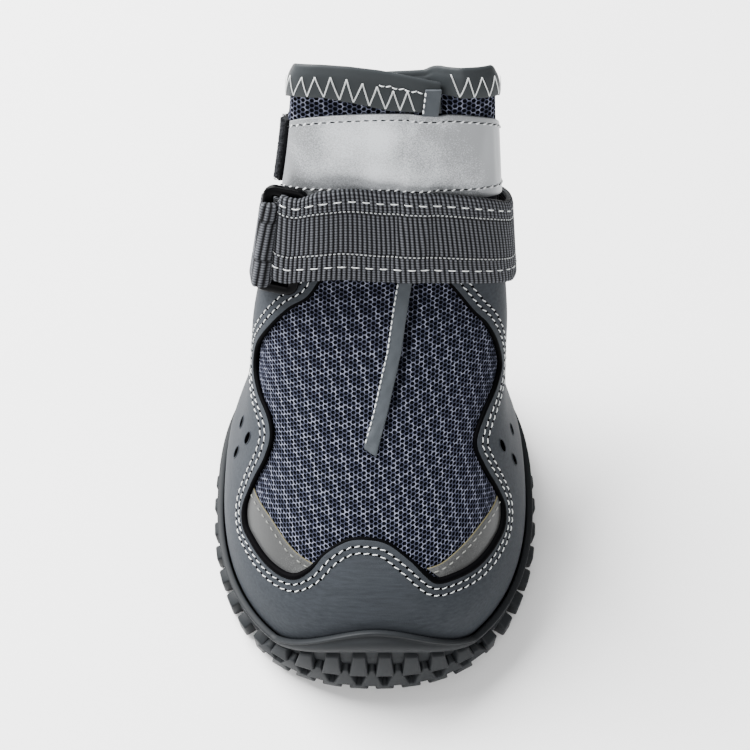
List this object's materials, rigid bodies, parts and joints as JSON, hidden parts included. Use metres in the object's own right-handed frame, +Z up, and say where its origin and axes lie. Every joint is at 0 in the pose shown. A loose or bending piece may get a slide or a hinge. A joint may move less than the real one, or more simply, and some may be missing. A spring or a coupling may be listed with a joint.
{
  "type": "dog boot",
  "caption": "Small dog's winter boot with a lugged rubber cup sole, mesh upper, waved mudguard, split shaft, reflective band and a webbing strap through a ring.",
  "frame": {"origin": "middle of the boot's length and width, at the plane the lugs stand on", "axes": "+Z up through the shaft, -Y toward the toe, +X toward the side without the ring"},
  "size_m": [0.076, 0.096, 0.1191],
  "materials": {
    "sole_rubber": "matt moulded rubber",
    "insole_foam": "felted foam",
    "knit_mesh": "open knitted mesh over dark lining",
    "overlay_synthetic": "coated synthetic leather, satin",
    "binding_synthetic": "folded stretch binding, satin",
    "grey_tape": "fine grey tape",
    "silver_reflective": "retroreflective coated cloth",
    "hook_and_loop": "black hook tape",
    "grey_webbing": "ribbed woven webbing",
    "black_plastic": "smooth moulded plastic",
    "tab_webbing": "ribbed woven webbing"
  },
  "bodies": {
    "root": {"outsole": "sole_rubber", "insole": "insole_foam", "upper": "knit_mesh", "mudguard": "overlay_synthetic", "collar_binding": "binding_synthetic", "slit_edging": "grey_tape", "reflective_band": "silver_reflective", "closure_tape": "hook_and_loop", "webbing_strap": "grey_webbing", "ring": "black_plastic", "ring_tab": "tab_webbing"}
  },
  "joints": []
}
